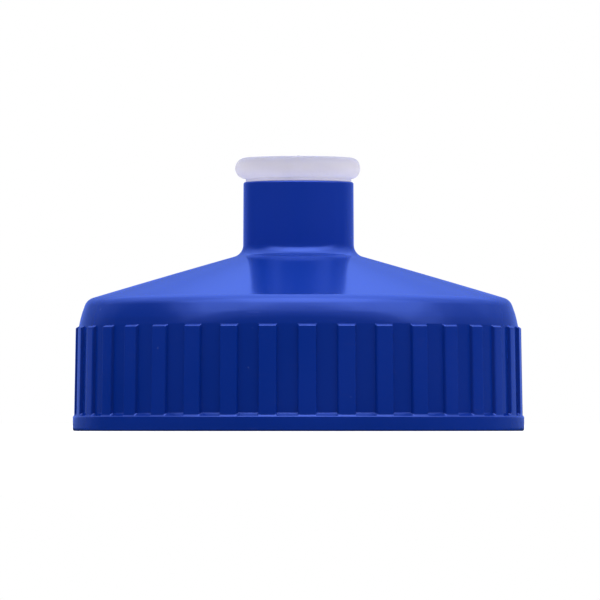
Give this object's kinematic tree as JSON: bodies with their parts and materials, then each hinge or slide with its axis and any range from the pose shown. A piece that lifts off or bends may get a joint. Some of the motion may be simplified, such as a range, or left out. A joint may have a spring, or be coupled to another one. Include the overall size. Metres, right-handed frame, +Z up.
{
  "type": "push-pull screw cap",
  "caption": "Ribbed screw-on closure of a wide-mouth squeeze bottle, with a collar and a push-pull spout that opens and shuts it.",
  "frame": {"origin": "centre of the cap's rim, in the plane of its lowest face, on which it stands", "axes": "+Z up through the spout, which slides along it; +X to the right and -Y to the front of the view it was made from"},
  "size_m": [0.07, 0.07, 0.0427],
  "materials": {
    "cap_plastic": "glossy blue polypropylene",
    "seal_rubber": "matt translucent white silicone",
    "core_plastic": "satin natural polypropylene",
    "spout_plastic": "satin natural polypropylene",
    "lip_rubber": "frosted translucent soft elastomer"
  },
  "bodies": {
    "cap": {"screw_cap": "cap_plastic", "sealing_ring": "seal_rubber", "valve_core": "core_plastic"},
    "spout": {"spout_sleeve": "spout_plastic", "spout_lip": "lip_rubber"}
  },
  "joints": [
    {"name": "spout_slide", "type": "slide", "parent": "cap", "child": "spout", "axis": [0, 0, 1], "range_m": [0, 0.0055]}
  ]
}
